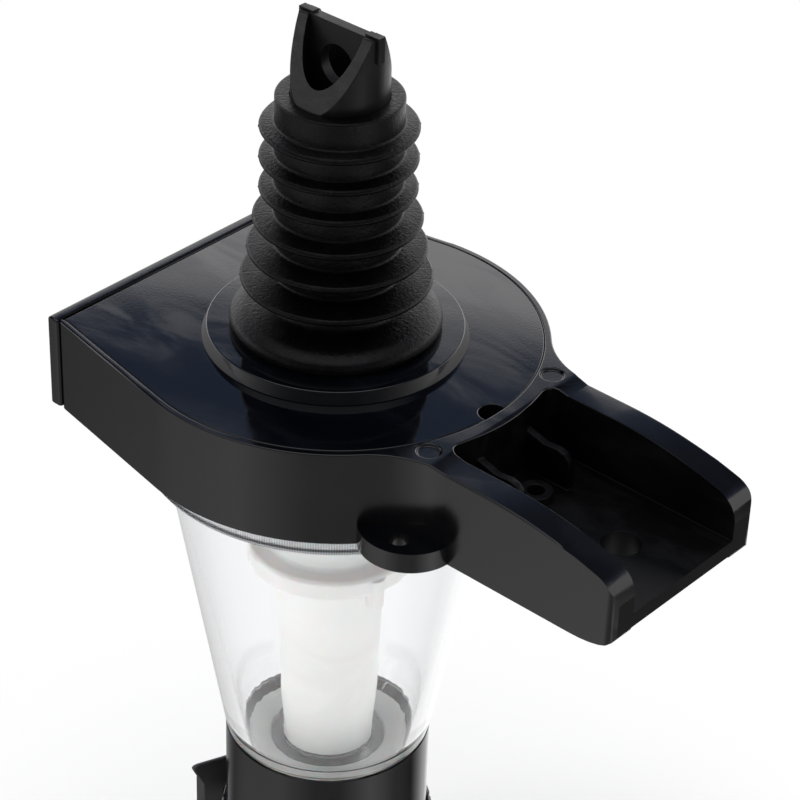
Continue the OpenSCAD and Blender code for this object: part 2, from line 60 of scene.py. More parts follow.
# ---- Head moulding ---------------------------------------------------------------------
# The head is one black acetal moulding: a round box that takes the chamber's collar, with
# two arms and a floor between them as its wall bracket. Its corners come out of the mould
# softly rounded, most of all at the front edges and along the outside of the arms.
MM = 0.001
axis_set_back = 51.2
cover_height = 10
head_corner, arm_corner, front_corner = 0.22, 0.4, 0.7
front_face, front_edge = -29.1, 24.5
rim_radius, cover_seat = 27, -2
socket_radius, socket_top, head_foot = 24, -5, -14
ear_inner, ear_start, ear_end, ear_top = 14.5, 20, 36, -10.5
arms_start, arm_outer, arm_foot = 33, 14.6, -9
rounding_end, rounding_fades = 57, 15
channel_half, channel_start, channel_end = 10.9, 28, 62.5
# The tops' black is bluer than the walls' black: a painted sky reflection on the one plastic.
black_top_painted_sky = (0.0014, 0.0016, 0.0025, 1)
black_wall = (0.0016, 0.0015, 0.0018, 1)
plastic_ior = 1.6


def at(x, y, z):
    """A point in mm from the stopper's axis and the cover's face, in the frame's metres."""
    return Vector((x, y - axis_set_back, z + cover_height)) * MM


def from_axis(point):
    """The same the other way round: mm from the stopper's axis and the cover's face."""
    return Vector((point.x / MM, point.y / MM + axis_set_back, point.z / MM - cover_height))


def apply_modifiers(piece):
    """Bakes a piece's modifiers into its mesh."""
    shaped = bpy.data.meshes.new_from_object(
        piece.evaluated_get(bpy.context.evaluated_depsgraph_get())
    )
    piece.modifiers.clear()
    piece.data = shaped


corner_angle, sharp_angle, flat_angle = 28, 50, 0.4
weld_distance = 0.003


def soften(node, name, width, factor=None, steps=3):
    """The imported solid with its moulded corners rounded; factor(point) scales the width."""
    work = bmesh.new()
    work.from_mesh(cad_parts[node].data)
    bmesh.ops.remove_doubles(work, verts=work.verts, dist=weld_distance * MM)
    bmesh.ops.dissolve_limit(
        work, angle_limit=math.radians(flat_angle), verts=work.verts, edges=work.edges
    )
    work.verts.index_update()
    corner = {}
    for edge in work.edges:
        if edge.calc_face_angle(0) > math.radians(corner_angle):
            middle = from_axis((edge.verts[0].co + edge.verts[1].co) / 2)
            corner[tuple(sorted(v.index for v in edge.verts))] = (
                factor(middle) if factor else 1.0
            )
    mesh = bpy.data.meshes.new(name)
    mesh.from_pydata(
        [v.co[:] for v in work.verts], [], [[v.index for v in f.verts] for f in work.faces]
    )
    work.free()
    weight = mesh.attributes.new("bevel_weight_edge", "FLOAT", "EDGE")
    widest = max(corner.values(), default=1.0)
    for edge in mesh.edges:
        weight.data[edge.index].value = (
            corner.get(tuple(sorted(edge.vertices)), 0) / widest
        )
    mesh.shade_smooth()
    piece = bpy.data.objects.new(name, mesh)
    bpy.context.scene.collection.objects.link(piece)
    round_off = piece.modifiers.new("round", "BEVEL")
    round_off.limit_method = "WEIGHT"
    round_off.width = width * widest * MM
    round_off.segments = steps
    round_off.use_clamp_overlap = False
    round_off.miter_outer = "MITER_ARC"
    apply_modifiers(piece)
    # Flat faces stay flat in the light, and only the rounded corners turn it.
    piece.data.set_sharp_from_angle(angle=math.radians(sharp_angle))
    piece.modifiers.new("normals", "WEIGHTED_NORMAL").keep_sharp = True
    apply_modifiers(piece)
    for old in list(piece.data.attributes):
        if old.name == "bevel_weight_edge":
            piece.data.attributes.remove(old)
    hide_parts(node)
    return piece


def add_node(tree, kind, inputs=None, **settings):
    """One shader node; inputs are values, or sockets to link from."""
    made = tree.nodes.new("ShaderNode" + kind)
    for name, value in settings.items():
        setattr(made, name, value)
    for name, value in (inputs or {}).items():
        if isinstance(value, bpy.types.NodeSocket):
            tree.links.new(value, made.inputs[name])
        else:
            made.inputs[name].default_value = value
    return made


def open_group(name, inputs, outputs):
    """A new shader node group with its named sockets; returns its tree, input and output."""
    tree = bpy.data.node_groups.new(name, "ShaderNodeTree")
    for label, (kind, value) in inputs.items():
        socket = tree.interface.new_socket(label, in_out="INPUT", socket_type="NodeSocket" + kind)
        socket.default_value = value
    for label, kind in outputs.items():
        tree.interface.new_socket(label, in_out="OUTPUT", socket_type="NodeSocket" + kind)
    return tree, tree.nodes.new("NodeGroupInput"), tree.nodes.new("NodeGroupOutput")


def blend_colours(tree, factor, first, second):
    """Mixes two colours, given as values or as sockets; returns the mixed colour's socket."""
    made = add_node(tree, "Mix", {"Factor": factor}, data_type="RGBA")
    pair = [s for s in made.inputs if s.type == "RGBA"]
    for socket, colour in zip(pair, (first, second)):
        if isinstance(colour, bpy.types.NodeSocket):
            tree.links.new(colour, socket)
        else:
            socket.default_value = colour
    return [s for s in made.outputs if s.type == "RGBA"][0]


# Moulded plastic: flow marks and rubbed patches that change its gloss, over a fine skin.
skin, given, out = open_group(
    "moulded_skin",
    {
        "Colour": ("Color", black_top_painted_sky),
        "Patch Colour": ("Color", black_wall),
        "Patch Scale": ("Float", 90.0),
        "Skin Scale": ("Float", 2500.0),
        "Smooth": ("Float", 0.15),
        "Rubbed": ("Float", 0.3),
    },
    {"Colour": "Color", "Roughness": "Float", "Height": "Float"},
)
place = add_node(skin, "TexCoord")
drawn_out = add_node(
    skin, "Mapping", {"Vector": place.outputs["Object"], "Scale": (1.0, 0.35, 1.0),
                      "Rotation": (0.0, 0.0, 0.5)}
)
patches = add_node(
    skin, "TexNoise",
    {"Vector": drawn_out.outputs["Vector"], "Scale": given.outputs["Patch Scale"],
     "Detail": 4.0, "Roughness": 0.62, "Distortion": 0.8},
)
patch_mask = add_node(
    skin, "MapRange",
    {"Value": patches.outputs["Fac"], "From Min": 0.38, "From Max": 0.68},
    interpolation_type="SMOOTHSTEP",
)
fine = add_node(
    skin, "TexNoise",
    {"Vector": place.outputs["Object"], "Scale": given.outputs["Skin Scale"], "Detail": 2.0},
)
tone = blend_colours(
    skin, patch_mask.outputs["Result"], given.outputs["Colour"], given.outputs["Patch Colour"]
)
gloss = add_node(
    skin, "MapRange",
    {"Value": patch_mask.outputs["Result"], "To Min": given.outputs["Smooth"],
     "To Max": given.outputs["Rubbed"]},
)
swell = add_node(
    skin, "Math", {0: patches.outputs["Fac"], 1: 0.5}, operation="MULTIPLY"
)
height = add_node(
    skin, "Math", {0: fine.outputs["Fac"], 1: swell.outputs["Value"]}, operation="ADD"
)
skin.links.new(tone, out.inputs["Colour"])
skin.links.new(gloss.outputs["Result"], out.inputs["Roughness"])
skin.links.new(height.outputs["Value"], out.inputs["Height"])


def moulded(name, colour, patch, smooth, rubbed, bump, patch_scale=90.0, skin_scale=2500.0,
            **shader):
    """A moulded plastic finish from the skin group; shader sets the surface's own sockets."""
    finish = bpy.data.materials.new(name)
    finish.use_nodes = True
    tree = finish.node_tree
    surface = tree.nodes["Principled BSDF"]
    skin_here = tree.nodes.new("ShaderNodeGroup")
    skin_here.node_tree = skin
    for socket, value in zip(
        ("Colour", "Patch Colour", "Patch Scale", "Skin Scale", "Smooth", "Rubbed"),
        (colour, patch, patch_scale, skin_scale, smooth, rubbed),
    ):
        skin_here.inputs[socket].default_value = value
    relief = add_node(
        tree, "Bump",
        {"Height": skin_here.outputs["Height"], "Strength": 1.0, "Distance": bump * MM},
    )
    tree.links.new(skin_here.outputs["Colour"], surface.inputs["Base Color"])
    tree.links.new(skin_here.outputs["Roughness"], surface.inputs["Roughness"])
    tree.links.new(relief.outputs["Normal"], surface.inputs["Normal"])
    for socket, value in shader.items():
        surface.inputs[socket.replace("_", " ")].default_value = value
    return finish


def paint(piece, *finishes, rule=None):
    """Gives a piece its finishes; rule(face) picks the one for each face."""
    piece.data.materials.clear()
    for finish in finishes:
        piece.data.materials.append(finish)
    if rule:
        for face in piece.data.polygons:
            face.material_index = rule(face)


def head_factor(p):
    """Wide corners on the arms and the front, narrow ones inside, none in bores and ears."""
    out = math.hypot(p.x, p.y)
    if p.y < front_face and abs(p.x) > front_edge and -13 < p.z < -1:
        return front_corner / head_corner
    if out < socket_radius and p.z < socket_top or p.z < head_foot:
        return 0
    if p.y < front_face or p.y > rounding_end:
        return 0
    if out > rim_radius and abs(p.z - cover_seat) < 0.2:
        return 0
    if abs(p.x) > ear_inner and ear_start < p.y < ear_end and p.z < ear_top:
        return 0
    if p.y > arms_start:
        outside = abs(p.x) > arm_outer and p.z > arm_foot
        widest = arm_corner / head_corner if outside else 0.8
        return widest * min(1, (rounding_end + 0.2 - p.y) / rounding_fades)
    return 0.6 if p.z < -11.5 or out < 27.8 else 1.0


head = soften("housing", "head_moulding", head_corner, head_factor)
# Flat tops take the bluer black, whose tint is a painted sky reflection.
head_top_painted_sky = moulded("black_top_painted_sky", black_top_painted_sky, (0.0030, 0.0033, 0.0045, 1), 0.10, 0.18, 0.002,
                   IOR=plastic_ior)
head_wall = moulded("black_wall", black_wall, (0.0026, 0.0025, 0.0030, 1), 0.13, 0.22, 0.004,
                    IOR=plastic_ior)
# The channel's black is darker than the rest of the head: painted shade in the recess between the
# arms.
channel_black_painted_shade = moulded(
    "channel_black_painted_shade", (0.0010, 0.0010, 0.0012, 1), (0.0030, 0.0030, 0.0036, 1), 0.36, 0.52, 0.012,
    patch_scale=240.0, Specular_IOR_Level=0.2,
)


def head_face(face):
    """The bracket's floor and inner walls are duller than the top and the outer walls, and darker
    as painted shade; flat tops take the black with a painted sky reflection.
    """
    p = from_axis(face.center)
    if channel_start < p.y < channel_end and abs(p.x) < channel_half and p.z < -0.45:
        return 2
    return 0 if abs(face.normal.z) > 0.9 else 1


paint(head, head_top_painted_sky, head_wall, channel_black_painted_shade, rule=head_face)
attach(head, "head")

# ---- Top cover -------------------------------------------------------------------------
# A flat lid of the same plastic closes the head. It drops inside the head's rim and the
# inlet's seat clamps it; a half-round notch at its back lets air in. Its face is polished.
cover = soften("top_cover", "top_cover_plate", 0.16)
# Its colour is a bluer black than the head's walls: a painted sky reflection on the flat lid.
cover_face_painted_sky = moulded(
    "cover_face_painted_sky", (0.0012, 0.0015, 0.0026, 1), (0.0026, 0.0030, 0.0046, 1), 0.05, 0.12, 0.0015,
    patch_scale=130.0, IOR=plastic_ior,
)
paint(cover, cover_face_painted_sky)
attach(cover, "head")

# ---- Front plate -----------------------------------------------------------------------
# A separate flat plate closes the front of the head: two pegs on its back are pressed into
# the head. A shallow glossy panel, quite plain, is set in its face.
plate = soften(
    "front_plate", "front_frame", 0.4, steps=4,
    factor=lambda p: 1.4 if -29.5 < p.y and (abs(p.x) > 24.9 or p.z > -0.4) else 1.0,
)
# The plate's flat tops take the black with the painted sky reflection tint.
paint(plate, head_top_painted_sky, head_wall, rule=lambda f: 0 if abs(f.normal.z) > 0.9 else 1)
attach(plate, "head")

panel = soften("badge_blank", "bare_panel", 0.12)
paint(panel, moulded(
    "panel_gloss", (0.004, 0.004, 0.005, 1), (0.006, 0.006, 0.007, 1), 0.08, 0.16, 0.002,
    Coat_Weight=0.5, Coat_Roughness=0.05,
))
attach(panel, "head")

# ---- Inlet tube and divider ------------------------------------------------------------
# The inlet tube stands up through the stopper, and its tip is sawn to two slopes. Its round
# seat spreads the clamping load on the cover. A blade across the bore parts the liquor that
# runs down from the air that bubbles up; two small tabs hook it over the tube's tip.
inlet = soften("inlet_tube", "inlet_and_seat", 0.14)
inlet_skin = moulded(
    "inlet_black", (0.0040, 0.0039, 0.0042, 1), (0.0075, 0.0073, 0.0078, 1), 0.32, 0.48, 0.012,
    patch_scale=160.0, skin_scale=3200.0, Specular_IOR_Level=0.28,
)
sawn = moulded(
    "sawn_black", (0.010, 0.010, 0.0103, 1), (0.022, 0.022, 0.0225, 1), 0.5, 0.62, 0.03,
    patch_scale=900.0, skin_scale=4200.0,
)


def inlet_face(face):
    """The seat is polished, the tube duller, and the two slopes of its tip are sawn."""
    middle = from_axis(face.center)
    if middle.z > 30 and 0.3 < abs(face.normal.x) and 0.3 < face.normal.z < 0.6:
        return 2
    return 0 if middle.z < 2.4 else 1


# The seat takes the cover's black with its painted sky reflection tint.
paint(inlet, cover_face_painted_sky, inlet_skin, sawn, rule=inlet_face)
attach(inlet, "head")

divider = soften("flow_divider", "bore_divider", 0.06)
paint(divider, inlet_skin)
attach(divider, "head")

# ---- Stopper ---------------------------------------------------------------------------
# The stopper is a sleeve of soft black rubber pushed down over the inlet tube. Six thin
# ribs bend inside the bottle's neck and seal it. The mould parts down two sides, where it
# leaves a fine dark line across every rib and a nub of flash at its rim.
stopper_core, stopper_bore = 8.65, 6.66
rib_radii = (13.34, 12.48, 11.69, 10.84, 10.83, 10.83)
rib_first, rib_step = 9.63, 4.58
stopper_foot, stopper_top = 1.82, 36.95
parting_turn = 137.0
flash_proud, flash_spread = 0.13, 1.2
line_core, line_edge = 0.05, 0.16
stopper_sides = 240


def rounded(corners, steps=5):
    """An outline from (x, y, radius) corners, each corner turned by an arc."""
    line = []
    for i, (x, y, radius) in enumerate(corners):
        here = Vector((x, y))
        back = Vector(corners[i - 1][:2]) - here
        on = Vector(corners[(i + 1) % len(corners)][:2]) - here
        half = back.angle(on) / 2
        run = min(radius / math.tan(half), 0.49 * back.length, 0.49 * on.length)
        start, end = here + back.normalized() * run, here + on.normalized() * run
        for k in range(steps + 1):
            t = k / steps
            line.append(tuple((start * (1 - t) + here * t) * (1 - t)
                              + (here * (1 - t) + end * t) * t))
    return line


def lathe(name, outline, sides, bend=None):
    """Turns a closed outline of (radius, height) in mm about the stopper's axis."""
    work = bmesh.new()
    rings = []
    for k in range(sides):
        turn = 2 * math.pi * k / sides
        ring = []
        for radius, z in outline:
            if bend:
                radius, z = bend(math.degrees(turn), radius, z)
            ring.append(work.verts.new(at(radius * math.cos(turn), radius * math.sin(turn), z)))
        rings.append(ring)
    for k in range(sides):
        ring, after = rings[k], rings[(k + 1) % sides]
        for i in range(len(outline)):
            j = (i + 1) % len(outline)
            work.faces.new((ring[i], after[i], after[j], ring[j]))
    bmesh.ops.remove_doubles(work, verts=work.verts, dist=1e-7)
    bmesh.ops.recalc_face_normals(work, faces=work.faces)
    mesh = bpy.data.meshes.new(name)
    work.to_mesh(mesh)
    work.free()
    mesh.shade_smooth()
    mesh.set_sharp_from_angle(angle=math.radians(40))
    piece = bpy.data.objects.new(name, mesh)
    bpy.context.scene.collection.objects.link(piece)
    return piece


profile = [
    (stopper_bore, stopper_foot, 0.1), (14.1, stopper_foot, 0.5), (14.8, 2.55, 0.8),
    (14.65, 3.7, 3.0), (12.9, 4.85, 5.0), (stopper_core, 5.3, 1.2),
]
for i, radius in enumerate(rib_radii):
    z = rib_first + i * rib_step
    profile += [
        (stopper_core, z - 0.6, 0.45), (radius - 0.3, z - 0.6, 0.3), (radius, z - 0.15, 0.35),
        (radius - 0.35, z + 0.28, 0.25), (stopper_core, z + 0.55, 0.5),
    ]
profile += [(stopper_core + 0.06, stopper_top, 0.3), (stopper_bore, stopper_top, 0.1)]


def flash(turn, radius, z):
    """A nub of flash on each rib's rim, where the two halves of the mould met."""
    off = abs((turn - parting_turn + 90) % 180 - 90)
    for i, rim in enumerate(rib_radii):
        if abs(z - rib_first - i * rib_step) < 0.5 and radius > rim - 0.5:
            return radius + flash_proud * max(0.0, 1 - off / flash_spread), z
    return radius, z


stopper = lathe("ribbed_stopper", rounded(profile), stopper_sides, bend=flash)
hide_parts("stopper")

# Rubber: matte, mottled by the mould's blasted face and by a little dust that clings to it.
rubber, given, out = open_group(
    "rubber_skin",
    {
        "Colour": ("Color", (0.010, 0.0095, 0.0100, 1)),
        "Dust Colour": ("Color", (0.030, 0.029, 0.031, 1)),
        "Pit Scale": ("Float", 2400.0),
        "Dust Scale": ("Float", 240.0),
        "Parting": ("Float", 0.0),
    },
    {"Colour": "Color", "Roughness": "Float", "Height": "Float"},
)
place = add_node(rubber, "TexCoord")
pits = add_node(
    rubber, "TexNoise",
    {"Vector": place.outputs["Object"], "Scale": given.outputs["Pit Scale"], "Detail": 3.0,
     "Roughness": 0.6},
)
dust = add_node(
    rubber, "TexNoise",
    {"Vector": place.outputs["Object"], "Scale": given.outputs["Dust Scale"], "Detail": 5.0,
     "Roughness": 0.7},
)
dust_mask = add_node(
    rubber, "MapRange", {"Value": dust.outputs["Fac"], "From Min": 0.45, "From Max": 0.8}
)
tone = blend_colours(
    rubber, dust_mask.outputs["Result"], given.outputs["Colour"], given.outputs["Dust Colour"]
)
gloss = add_node(
    rubber, "MapRange", {"Value": pits.outputs["Fac"], "To Min": 0.26, "To Max": 0.48}
)
# The line of the mould's parting plane, which stands on the stopper's axis.
plane_turn = math.radians(parting_turn)
off_plane = add_node(
    rubber, "VectorMath",
    {0: place.outputs["Object"], 1: (math.sin(plane_turn), -math.cos(plane_turn), 0.0)},
    operation="DOT_PRODUCT",
)
shifted = add_node(
    rubber, "Math",
    {0: off_plane.outputs["Value"], 1: -axis_set_back * MM * math.cos(plane_turn)},
    operation="ADD",
)
apart = add_node(rubber, "Math", {0: shifted.outputs["Value"]}, operation="ABSOLUTE")
line = add_node(
    rubber, "MapRange",
    {"Value": apart.outputs["Value"], "From Min": line_core * MM, "From Max": line_edge * MM,
     "To Min": given.outputs["Parting"], "To Max": 0.0},
)
lined = blend_colours(rubber, line.outputs["Result"], tone, (0, 0, 0, 1))
groove = add_node(
    rubber, "Math", {0: line.outputs["Result"], 1: 0.25}, operation="MULTIPLY"
)
sunk = add_node(
    rubber, "Math", {0: pits.outputs["Fac"], 1: groove.outputs["Value"]}, operation="SUBTRACT"
)
rubber.links.new(lined, out.inputs["Colour"])
rubber.links.new(gloss.outputs["Result"], out.inputs["Roughness"])
rubber.links.new(sunk.outputs["Value"], out.inputs["Height"])


def rubbery(name, colour, dusty, bump, pit_scale=2400.0, dust_scale=240.0, parting=0.0):
    """A rubber finish from the rubber group."""
    finish = bpy.data.materials.new(name)
    finish.use_nodes = True
    tree = finish.node_tree
    surface = tree.nodes["Principled BSDF"]
    surface.inputs["Specular IOR Level"].default_value = 0.25
    here = tree.nodes.new("ShaderNodeGroup")
    here.node_tree = rubber
    here.inputs["Colour"].default_value = colour
    here.inputs["Dust Colour"].default_value = dusty
    here.inputs["Pit Scale"].default_value = pit_scale
    here.inputs["Dust Scale"].default_value = dust_scale
    here.inputs["Parting"].default_value = parting
    relief = add_node(tree, "Bump", {"Height": here.outputs["Height"], "Distance": bump * MM})
    tree.links.new(here.outputs["Colour"], surface.inputs["Base Color"])
    tree.links.new(here.outputs["Roughness"], surface.inputs["Roughness"])
    tree.links.new(relief.outputs["Normal"], surface.inputs["Normal"])
    return finish


paint(stopper, rubbery(
    "stopper_rubber", (0.0005, 0.0004, 0.0005, 1), (0.0035, 0.0032, 0.0036, 1), 0.08,
    pit_scale=2000.0, parting=1.0,
))
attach(stopper, "head")

# ---- Seals inside the head -------------------------------------------------------------
# Rubber O-rings, the chamber's flat gasket and the air valve's little umbrella sit in their
# seats in the head. They are plain rings, seen only through the chamber or when it is off.
seal = rubbery(
    "seal_rubber", (0.020, 0.020, 0.021, 1), (0.05, 0.05, 0.052, 1), 0.01, 5000.0, 600.0
)
for node in ("inlet_o_ring", "vent_valve", "chamber_gasket", "valve_o_ring", "outlet_o_ring"):
    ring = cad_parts[node]
    for place_in in ring.material_slots:
        place_in.material = seal

# ---- Measuring chamber -----------------------------------------------------------------
# The chamber is a clear styrene cone that holds one measure. Its collar screws up into the
# head, so a band of fine grip ribs runs round it just under the head; its waist carries
# the label and its foot takes the base. Long flow lines from the mould run down its wall.
grip_ribs = 490
grip_top, grip_foot = -14.35, -18.1
collar, cone_top, waist, skirt, wall = 27.6, 24.2, 15.5, 15.0, 1.8
collar_top, floor_z, floor_foot, skirt_foot = -9.6, -69.7, -70.9, -88.4
foot_bore, tube_hole = 13.6, 6.75
wall_relief, flow_share = 0.012, 1.2
grip_painted_shade, grip_painted_highlight = (0.34, 0.345, 0.375, 1), (0.66, 0.67, 0.71, 1)
clear_tint = (0.978, 0.981, 0.988, 1)
chamber_sides = 288
chamber = lathe(
    "clear_chamber",
    rounded([
        (collar - 0.6, collar_top, 0.2), (collar - 0.3, -13.9, 0.3), (collar, -14.5, 0.2),
        (collar, -17.6, 0.6), (collar - 0.5, -18.4, 0.5), (cone_top, -18.4, 0.3),
        (waist, -68.6, 0.6), (skirt, -68.9, 0.1), (skirt, skirt_foot, 0.25),
        (foot_bore, skirt_foot, 0.2), (foot_bore, floor_foot, 0.4),
        (tube_hole, floor_foot, 0.15), (tube_hole, floor_z, 0.2), (11.4, floor_z, 1.2),
        (13.0, floor_z + 2.0, 1.6), (cone_top - wall, -19.4, 0.8),
        (cone_top - wall, collar_top, 0.2),
    ], steps=4),
    chamber_sides,
)
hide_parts("chamber")

# Clear plastic, with fine grip ribs on the collar's band alone, which is frosted and painted grey
# in stripes of shade and highlight that follow the ribs.
clear = bpy.data.materials.new("clear_styrene")
clear.use_nodes = True
tree = clear.node_tree
surface = tree.nodes["Principled BSDF"]
place = add_node(tree, "TexCoord")
split = add_node(tree, "SeparateXYZ", {"Vector": place.outputs["Object"]})
depth = add_node(tree, "Math", {0: split.outputs["Y"], 1: axis_set_back * MM}, operation="ADD")
angle = add_node(
    tree, "Math", {0: depth.outputs["Value"], 1: split.outputs["X"]}, operation="ARCTAN2"
)
turns = add_node(tree, "Math", {0: angle.outputs["Value"], 1: float(grip_ribs)},
                 operation="MULTIPLY")
ribs = add_node(tree, "Math", {0: turns.outputs["Value"]}, operation="SINE")
above = add_node(
    tree, "MapRange",
    {"Value": split.outputs["Z"], "From Min": (grip_foot + cover_height - 0.3) * MM,
     "From Max": (grip_foot + cover_height - 0.25) * MM},
)
below = add_node(
    tree, "MapRange",
    {"Value": split.outputs["Z"], "From Min": (grip_top + cover_height + 0.1) * MM,
     "From Max": (grip_top + cover_height - 0.1) * MM},
)
band = add_node(
    tree, "Math", {0: above.outputs["Result"], 1: below.outputs["Result"]},
    operation="MULTIPLY",
)
ribbed = add_node(
    tree, "Math", {0: ribs.outputs["Value"], 1: band.outputs["Value"]}, operation="MULTIPLY"
)
bearing = add_node(
    tree, "CombineXYZ", {"X": angle.outputs["Value"], "Y": split.outputs["Z"]}
)
drawn = add_node(
    tree, "Mapping", {"Vector": bearing.outputs["Vector"], "Scale": (9.0, 14.0, 1.0)}
)
flow = add_node(
    tree, "TexNoise", {"Vector": drawn.outputs["Vector"], "Scale": 1.0, "Detail": 2.0,
                       "Roughness": 0.5}
)
flow_height = add_node(
    tree, "Math", {0: flow.outputs["Fac"], 1: flow_share}, operation="MULTIPLY"
)
height = add_node(
    tree, "Math",
    {0: ribbed.outputs["Value"], 1: flow_height.outputs["Value"]}, operation="ADD",
)
relief = add_node(
    tree, "Bump", {"Height": height.outputs["Value"], "Distance": wall_relief * MM}
)
# Dark and pale stripes with each rib: painted shade and highlight on the grip band.
rib_light_stripes = add_node(
    tree, "MapRange", {"Value": ribs.outputs["Value"], "From Min": -1.0, "From Max": 1.0}
)
grip = blend_colours(tree, rib_light_stripes.outputs["Result"], grip_painted_shade, grip_painted_highlight)
tint = blend_colours(tree, band.outputs["Value"], clear_tint, grip)
frost = add_node(
    tree, "MapRange", {"Value": band.outputs["Value"], "To Min": 0.02, "To Max": 0.3}
)
tree.links.new(tint, surface.inputs["Base Color"])
tree.links.new(frost.outputs["Result"], surface.inputs["Roughness"])
tree.links.new(relief.outputs["Normal"], surface.inputs["Normal"])
surface.inputs["Transmission Weight"].default_value = 1.0
surface.inputs["IOR"].default_value = 1.52
paint(chamber, clear)
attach(chamber, "head")

# ---- Valve -----------------------------------------------------------------------------
# The valve is a white acetal cup welded on a long tube. The cup's nose shuts the inlet as
# it rises, and four ports near the tube's foot let the measure out. A stub of its moulding
# gate is left under the flange. The plastic is faintly translucent.
white = moulded(
    "white_acetal", (0.86, 0.855, 0.835, 1), (0.80, 0.795, 0.775, 1), 0.36, 0.5, 0.006,
    patch_scale=60.0, Subsurface_Weight=0.25, Subsurface_Scale=0.003,
)
cup = soften("valve_cup", "valve_cup_white", 0.25, lambda p: 0.4 if p.z > -21 else 1.0)
paint(cup, white)
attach(cup, "valve")
stem = soften("valve_tube", "valve_stem", 0.05)
paint(stem, white)
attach(stem, "valve")

# ---- Return spring ---------------------------------------------------------------------
# A coil of bright spring steel stands in the cup and pushes the valve down again. It bears
# on a flat washer under the inlet, and its end turns lie close.
coil_radius, wire = 6.35, 0.9
coil_turns, coil_foot, coil_top = 8, -34.03, -11.67
flat_pitch = wire + 0.5
turn_steps, wire_sides = 32, 12
steel = bpy.data.materials.new("spring_steel")
steel.use_nodes = True
tree = steel.node_tree
surface = tree.nodes["Principled BSDF"]
place = add_node(tree, "TexCoord")
drawn = add_node(
    tree, "Mapping", {"Vector": place.outputs["Object"], "Scale": (300.0, 300.0, 9000.0)}
)
marks = add_node(tree, "TexNoise", {"Vector": drawn.outputs["Vector"], "Scale": 1.0,
                                    "Detail": 3.0})
rough = add_node(tree, "MapRange", {"Value": marks.outputs["Fac"], "To Min": 0.2,
                                    "To Max": 0.38})
shade = blend_colours(
    tree, marks.outputs["Fac"], (0.56, 0.56, 0.57, 1), (0.68, 0.68, 0.68, 1)
)
relief = add_node(tree, "Bump", {"Height": marks.outputs["Fac"], "Distance": 0.004 * MM})
tree.links.new(shade, surface.inputs["Base Color"])
tree.links.new(rough.outputs["Result"], surface.inputs["Roughness"])
tree.links.new(relief.outputs["Normal"], surface.inputs["Normal"])
surface.inputs["Metallic"].default_value = 1.0


def coil_height(turn):
    """Height of the wire after so many turns: close end turns, an even climb between."""
    climb = (coil_top - coil_foot - 2 * flat_pitch) / (coil_turns - 2)
    if turn < 1:
        return coil_foot + turn * flat_pitch
    if turn > coil_turns - 1:
        return coil_top - (coil_turns - turn) * flat_pitch
    return coil_foot + flat_pitch + (turn - 1) * climb


work = bmesh.new()
loops = []
for k in range(coil_turns * turn_steps + 1):
    turn = k / turn_steps
    around = 2 * math.pi * turn
    loop = []
    for s in range(wire_sides):
        swing = 2 * math.pi * s / wire_sides
        radius = coil_radius + wire / 2 * math.cos(swing)
        loop.append(work.verts.new(at(
            radius * math.cos(around), radius * math.sin(around),
            coil_height(turn) + wire / 2 * math.sin(swing),
        )))
    loops.append(loop)
for ring, after in zip(loops, loops[1:]):
    for s in range(wire_sides):
        t = (s + 1) % wire_sides
        work.faces.new((ring[s], ring[t], after[t], after[s]))
work.faces.new(loops[0])
work.faces.new(list(reversed(loops[-1])))
bmesh.ops.recalc_face_normals(work, faces=work.faces)
mesh = bpy.data.meshes.new("coil_spring")
work.to_mesh(mesh)
work.free()
mesh.shade_smooth()
mesh.set_sharp_from_angle(angle=math.radians(50))
spring = bpy.data.objects.new("coil_spring", mesh)
bpy.context.scene.collection.objects.link(spring)
paint(spring, steel)
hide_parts("return_spring")
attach(spring, "head")
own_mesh(spring)
washer = soften("spring_washer", "spring_seat_washer", 0.08)
paint(washer, steel)
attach(washer, "head")

# ---- Waist and base --------------------------------------------------------------------
# A plain glossy black film is wrapped round the chamber's waist with a narrow seam. Below
# it a grooved nut clamps the white base, whose bush guides the valve's tube.
film = moulded(
    "label_film", (0.0024, 0.0024, 0.0027, 1), (0.0036, 0.0036, 0.0040, 1), 0.10, 0.18, 0.004,
    patch_scale=45.0,
)
label = soften("label_band", "bare_label", 0.08)
paint(label, film)
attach(label, "head")
base = soften("base_body", "base_bush_housing", 0.2)
paint(base, white)
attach(base, "head")
bush = soften("guide_bush", "guide_bush_white", 0.15)
paint(bush, white)
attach(bush, "head")
nut = soften("base_nut", "grooved_nut", 0.14)
paint(nut, head_wall)
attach(nut, "head")

# ---- Push bar and drip tip -------------------------------------------------------------
# The glass lifts the push bar: two flared levers on a hub that slides up with the valve's
# tube, held by an open steel ring above and below. The drip tip is pressed into the tube.
bar = soften("push_bar", "lever_bar", 0.3, lambda p: 0.4 if math.hypot(p.x, p.y) < 11 else 1.0,
             steps=4)
bar_black = moulded(
    "bar_black", (0.024, 0.0225, 0.0245, 1), (0.032, 0.0305, 0.033, 1), 0.34, 0.46, 0.01,
    IOR=plastic_ior,
)
paint(bar, bar_black)
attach(bar, "valve")
clips = soften("retaining_clips", "open_ring_clips", 0.12)
paint(clips, steel)
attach(clips, "valve")
tip = soften("nozzle_tip", "drip_tip", 0.12)
paint(tip, inlet_skin)
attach(tip, "valve")

